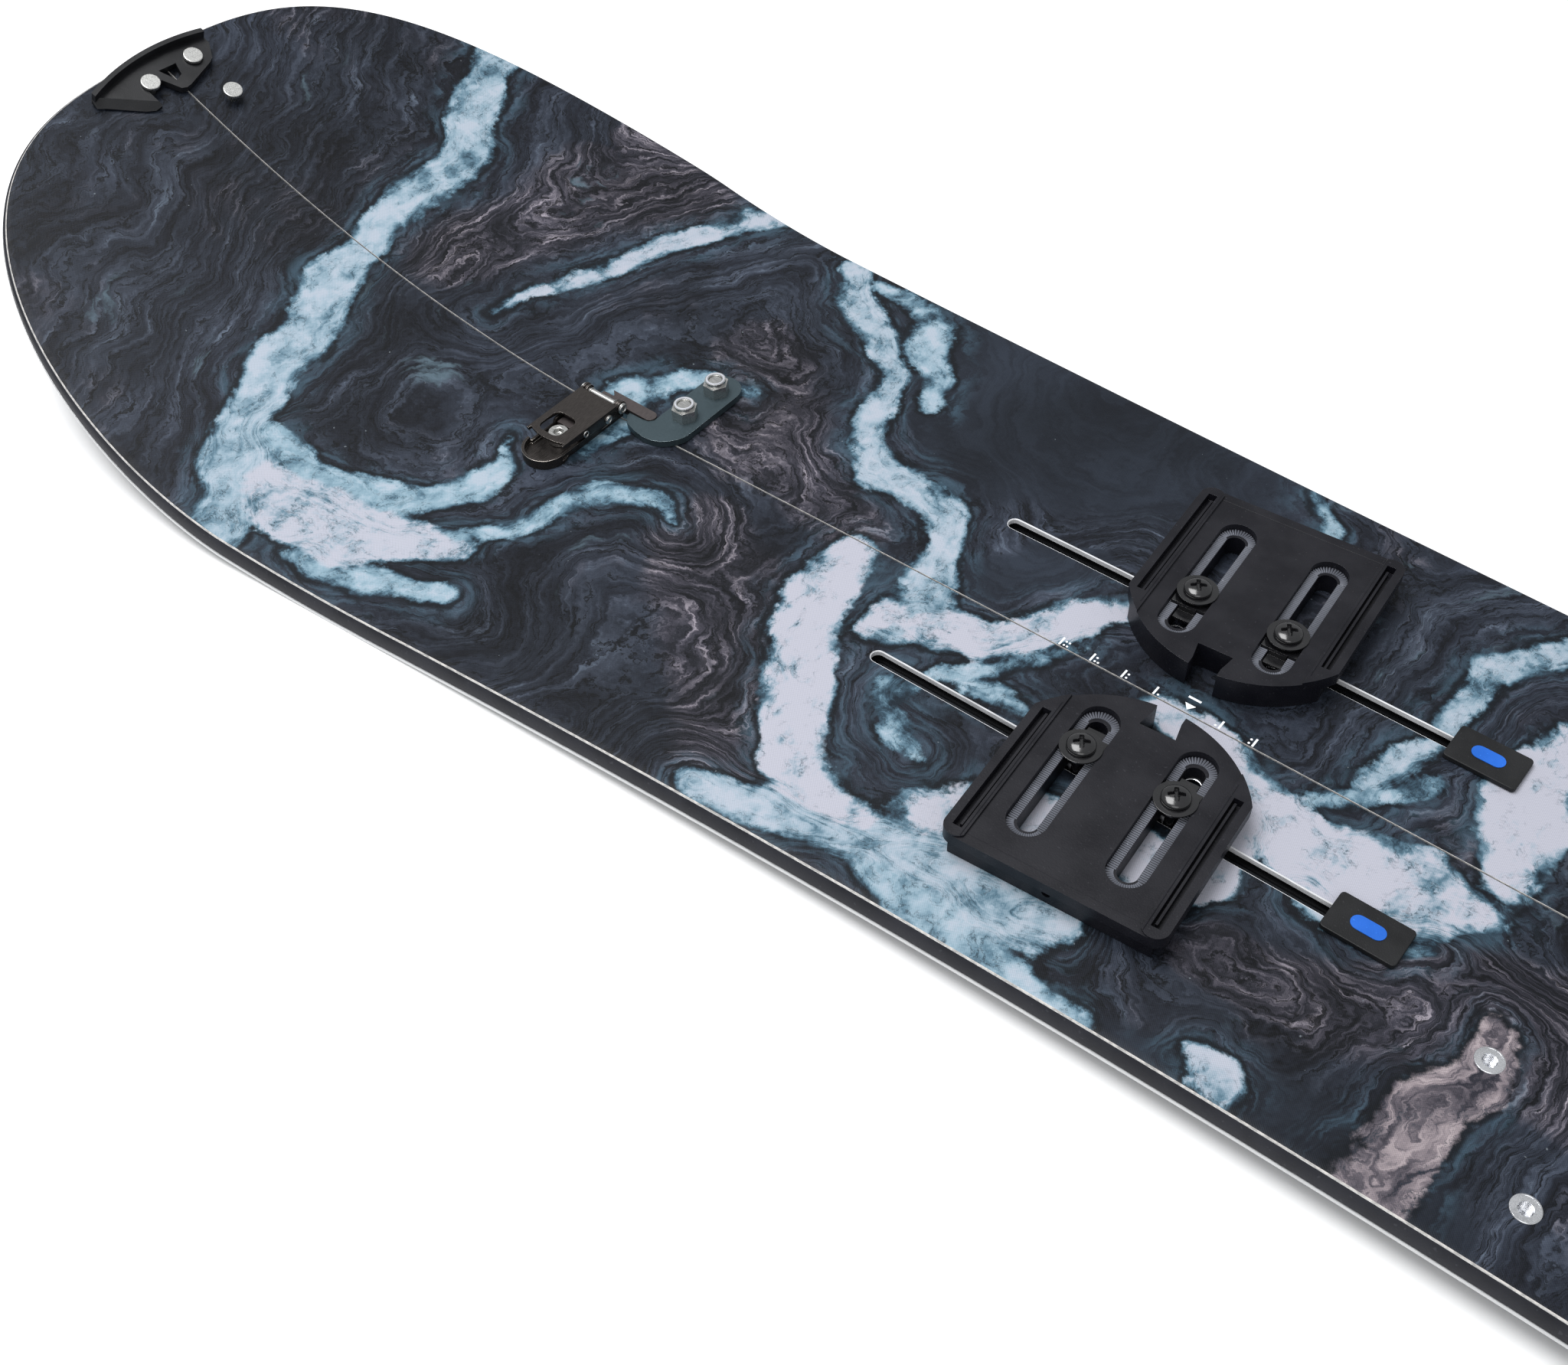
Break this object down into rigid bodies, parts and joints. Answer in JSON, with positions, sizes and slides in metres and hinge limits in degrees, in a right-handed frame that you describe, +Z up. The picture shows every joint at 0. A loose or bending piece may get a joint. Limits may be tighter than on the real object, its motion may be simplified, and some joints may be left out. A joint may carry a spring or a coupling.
{
  "type": "splitboard",
  "caption": "Two-piece touring snowboard whose halves hold together with turning tip clips and lever latches, with sliding binding pucks in deck channels.",
  "frame": {"origin": "centre of the bounding box on the floor, midway between nose tip and tail tip and on the seam", "axes": "+X to the nose, +Y to the half that carries the latches, +Z up"},
  "size_m": [1.62, 0.3226, 0.0831],
  "materials": {
    "printed_topsheet": "satin",
    "wood_core": "matte",
    "sintered_base": "waxed",
    "edge_steel": "ground",
    "sidewall": "satin",
    "channel_alloy": "satin",
    "stainless": "bright",
    "bright_steel": "bright",
    "anodised_plate": "anodised",
    "moulded_clip": "satin",
    "claw_steel": "satin",
    "latch_steel": "satin",
    "moulded_puck": "satin",
    "black_screw": "gloss black",
    "rubber_plug": "matte"
  },
  "bodies": {
    "far_half": {"far_topsheet": "printed_topsheet", "far_core": "wood_core", "far_base_sheet": "sintered_base", "far_outer_edge": "edge_steel", "far_inner_edge": "edge_steel", "far_sidewall": "sidewall", "far_channels": "channel_alloy", "far_inserts": "stainless", "front_hook_plate": "anodised_plate", "rear_hook_plate": "anodised_plate", "hook_plate_bolts": "bright_steel", "hook_plate_nuts": "bright_steel", "far_clip_pins": "bright_steel"},
    "near_half": {"near_topsheet": "printed_topsheet", "near_core": "wood_core", "near_base_sheet": "sintered_base", "near_outer_edge": "edge_steel", "near_inner_edge": "edge_steel", "near_sidewall": "sidewall", "near_channels": "channel_alloy", "near_inserts": "stainless", "near_clip_pins": "bright_steel", "front_latch_base": "latch_steel", "front_latch_bar": "bright_steel", "front_latch_screw": "bright_steel", "rear_latch_base": "latch_steel", "rear_latch_bar": "bright_steel", "rear_latch_screw": "bright_steel"},
    "nose_clip": {"nose_clip": "moulded_clip"},
    "tail_clip": {"tail_clip": "moulded_clip"},
    "front_latch_lever": {"front_latch_lever": "latch_steel", "front_latch_rivets": "bright_steel"},
    "front_latch_link": {"front_latch_link": "latch_steel"},
    "front_latch_claw": {"front_latch_claw": "claw_steel"},
    "front_far_puck": {"front_far_puck": "moulded_puck", "front_far_screws": "black_screw", "front_far_washers": "black_screw", "front_far_nuts": "stainless"},
    "front_far_plug": {"front_far_plug": "rubber_plug"},
    "front_near_puck": {"front_near_puck": "moulded_puck", "front_near_screws": "black_screw", "front_near_washers": "black_screw", "front_near_nuts": "stainless"},
    "front_near_plug": {"front_near_plug": "rubber_plug"},
    "rear_latch_lever": {"rear_latch_lever": "latch_steel", "rear_latch_rivets": "bright_steel"},
    "rear_latch_link": {"rear_latch_link": "latch_steel"},
    "rear_latch_claw": {"rear_latch_claw": "claw_steel"},
    "rear_far_puck": {"rear_far_puck": "moulded_puck", "rear_far_screws": "black_screw", "rear_far_washers": "black_screw", "rear_far_nuts": "stainless"},
    "rear_far_plug": {"rear_far_plug": "rubber_plug"},
    "rear_near_puck": {"rear_near_puck": "moulded_puck", "rear_near_screws": "black_screw", "rear_near_washers": "black_screw", "rear_near_nuts": "stainless"},
    "rear_near_plug": {"rear_near_plug": "rubber_plug"}
  },
  "joints": [
    {"name": "halves_part", "type": "slide", "parent": "far_half", "child": "near_half", "axis": [0, 1, 0], "range_m": [0, 0.0125]},
    {"name": "front_lever_turn", "type": "hinge", "parent": "near_half", "child": "front_latch_lever", "pos_m": [0.52303, 0.0006, 0.01576], "axis": [1, 0, -0.0046], "range_deg": [0, 90]},
    {"name": "front_link_turn", "type": "hinge", "parent": "front_latch_lever", "child": "front_latch_link", "pos_m": [0.52303, 0.009, 0.01506], "axis": [1, 0, -0.0046], "range_deg": [-136.1, 0]},
    {"name": "front_claw_slide", "type": "slide", "parent": "near_half", "child": "front_latch_claw", "axis": [0, -1, 0], "range_m": [0, 0.0125]},
    {"name": "rear_lever_turn", "type": "hinge", "parent": "near_half", "child": "rear_latch_lever", "pos_m": [-0.57303, 0.0006, 0.01576], "axis": [1, 0, 0.0042], "range_deg": [0, 90]},
    {"name": "rear_link_turn", "type": "hinge", "parent": "rear_latch_lever", "child": "rear_latch_link", "pos_m": [-0.57303, 0.009, 0.01506], "axis": [1, 0, 0.0042], "range_deg": [-136.1, 0]},
    {"name": "rear_claw_slide", "type": "slide", "parent": "near_half", "child": "rear_latch_claw", "axis": [0, -1, 0], "range_m": [0, 0.0125]},
    {"name": "nose_clip_turn", "type": "hinge", "parent": "far_half", "child": "nose_clip", "pos_m": [0.79361, -0.0127, 0.07267], "axis": [0.4194, 0, -0.9078], "range_deg": [0, 80]},
    {"name": "tail_clip_turn", "type": "hinge", "parent": "far_half", "child": "tail_clip", "pos_m": [-0.79378, -0.0127, 0.0516], "axis": [0.3531, 0, 0.9356], "range_deg": [0, 80]},
    {"name": "front_far_puck_slide", "type": "slide", "parent": "far_half", "child": "front_far_puck", "axis": [0.9998, 0, -0.0207], "range_m": [-0.03, 0.07]},
    {"name": "front_near_puck_slide", "type": "slide", "parent": "near_half", "child": "front_near_puck", "axis": [0.9998, 0, -0.0207], "range_m": [-0.03, 0.07]},
    {"name": "rear_far_puck_slide", "type": "slide", "parent": "far_half", "child": "rear_far_puck", "axis": [-0.9998, 0, -0.022], "range_m": [-0.03, 0.07]},
    {"name": "rear_near_puck_slide", "type": "slide", "parent": "near_half", "child": "rear_near_puck", "axis": [-0.9998, 0, -0.022], "range_m": [-0.03, 0.07]},
    {"name": "front_far_plug_lift", "type": "slide", "parent": "far_half", "child": "front_far_plug", "axis": [0.0131, 0, 0.9999], "range_m": [0, 0.008]},
    {"name": "front_near_plug_lift", "type": "slide", "parent": "near_half", "child": "front_near_plug", "axis": [0.0131, 0, 0.9999], "range_m": [0, 0.008]},
    {"name": "rear_far_plug_lift", "type": "slide", "parent": "far_half", "child": "rear_far_plug", "axis": [-0.0144, 0, 0.9999], "range_m": [0, 0.008]},
    {"name": "rear_near_plug_lift", "type": "slide", "parent": "near_half", "child": "rear_near_plug", "axis": [-0.0144, 0, 0.9999], "range_m": [0, 0.008]}
  ],
  "couplings": [
    {"joint": "front_lever_turn", "follows": "halves_part", "rad_per_m": 125.65},
    {"joint": "front_link_turn", "follows": "halves_part", "rad_per_m": -190.01},
    {"joint": "front_claw_slide", "follows": "halves_part", "ratio": 1},
    {"joint": "rear_lever_turn", "follows": "halves_part", "rad_per_m": 125.65},
    {"joint": "rear_link_turn", "follows": "halves_part", "rad_per_m": -190.01},
    {"joint": "rear_claw_slide", "follows": "halves_part", "ratio": 1},
    {"joint": "nose_clip_turn", "follows": "halves_part", "rad_per_m": 111.69},
    {"joint": "tail_clip_turn", "follows": "halves_part", "rad_per_m": 111.69}
  ]
}
